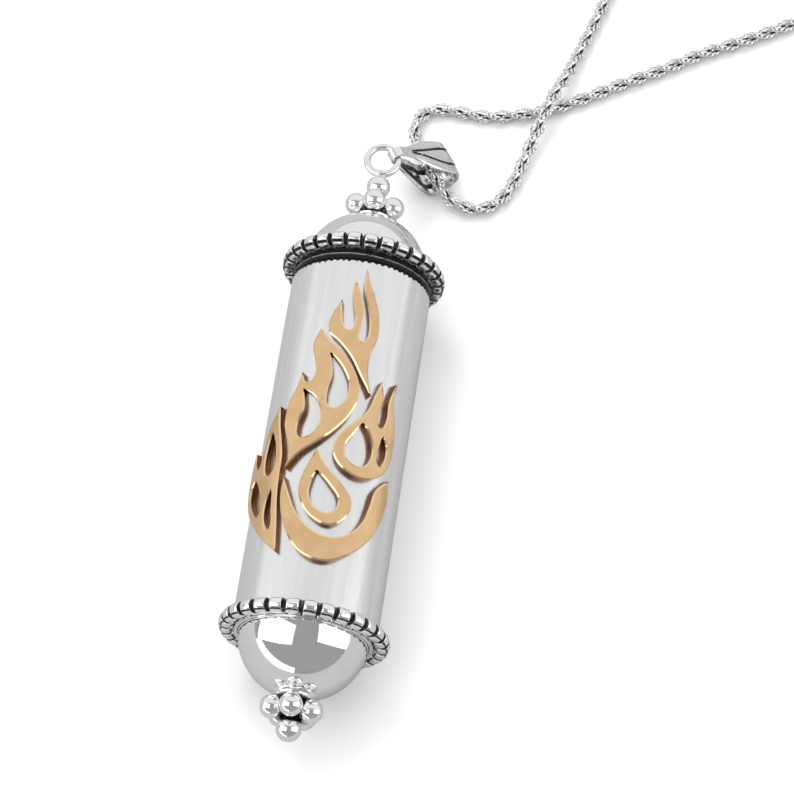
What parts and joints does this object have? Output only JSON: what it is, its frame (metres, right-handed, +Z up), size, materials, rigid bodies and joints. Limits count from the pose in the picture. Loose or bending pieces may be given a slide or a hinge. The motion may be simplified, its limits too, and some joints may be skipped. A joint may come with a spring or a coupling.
{
  "type": "mezuzah case",
  "caption": "Small tubular pendant scroll case with domed ends, beaded rings, a relief flame, a screw cap, a hanging ring, a bail and a rope chain.",
  "frame": {"origin": "middle, seen from above, of the case with its bail, on the table that it lies on", "axes": "+Y along the case towards its hanging ring, +Z up through the middle of the flame, +X to the right seen from the flame's side"},
  "size_m": [0.0575, 0.119, 0.0165],
  "materials": {
    "satin_silver": "satin silver, fine lengthwise brushing",
    "polished_silver": "mirror polished silver",
    "dark_silver": "oxidised silver",
    "gold": "satin gold with polished edges",
    "parchment": "matte",
    "thread_wrap": "matte",
    "seal": "matte",
    "tie": "matte"
  },
  "bodies": {
    "cap": {"top_dome": "polished_silver", "cap_plug": "satin_silver", "top_bead_ring": "polished_silver", "top_neck": "polished_silver", "top_granules": "polished_silver", "top_pin": "polished_silver", "stem_ball": "polished_silver", "hanging_ring": "polished_silver"},
    "seal": {"seal_washer": "seal"},
    "case": {"case_tube": "satin_silver", "thread_bush": "satin_silver", "mouth_band": "dark_silver", "bottom_dome": "polished_silver", "bottom_bead_ring": "polished_silver", "bottom_neck": "polished_silver", "bottom_granules": "polished_silver", "bottom_pin": "polished_silver", "tip_ball": "polished_silver", "flame_crown": "gold", "flame_left": "gold", "flame_right": "gold", "flame_outer": "gold", "flame_bowl": "gold", "flame_heart": "gold", "scroll": "parchment", "scroll_tie": "thread_wrap"},
    "bail": {"bail": "polished_silver", "chain_near": "polished_silver", "chain_far": "polished_silver", "chain_tail": "polished_silver", "chain_coil": "polished_silver", "coil_tie": "tie", "chain_end_caps": "polished_silver", "end_links": "polished_silver", "clasp_body": "polished_silver", "clasp_pin": "polished_silver"},
    "clasp_lever": {"clasp_lever": "polished_silver"}
  },
  "joints": [
    {"name": "case_turn", "type": "hinge", "parent": "cap", "child": "seal", "pos_m": [0, 0.01381, 0.00824], "axis": [0, -1, 0], "range_deg": [0, 1440]},
    {"name": "case_travel", "type": "slide", "parent": "seal", "child": "case", "axis": [0, -1, 0], "range_m": [0, 0.004]},
    {"name": "bail_swivel", "type": "hinge", "parent": "cap", "child": "bail", "pos_m": [0, 0.02856, 0.00824], "axis": [0, 0, 1], "range_deg": [-20, 70]},
    {"name": "clasp_lever_turn", "type": "hinge", "parent": "bail", "child": "clasp_lever", "pos_m": [0.01988, 0.08066, 0.00082], "axis": [0, 0, -1], "range_deg": [0, 18], "stiffness_Nm_per_rad": 0.0005, "springref_deg": -11.46}
  ],
  "couplings": [
    {"joint": "case_turn", "follows": "case_travel", "rad_per_m": 6283.2}
  ]
}
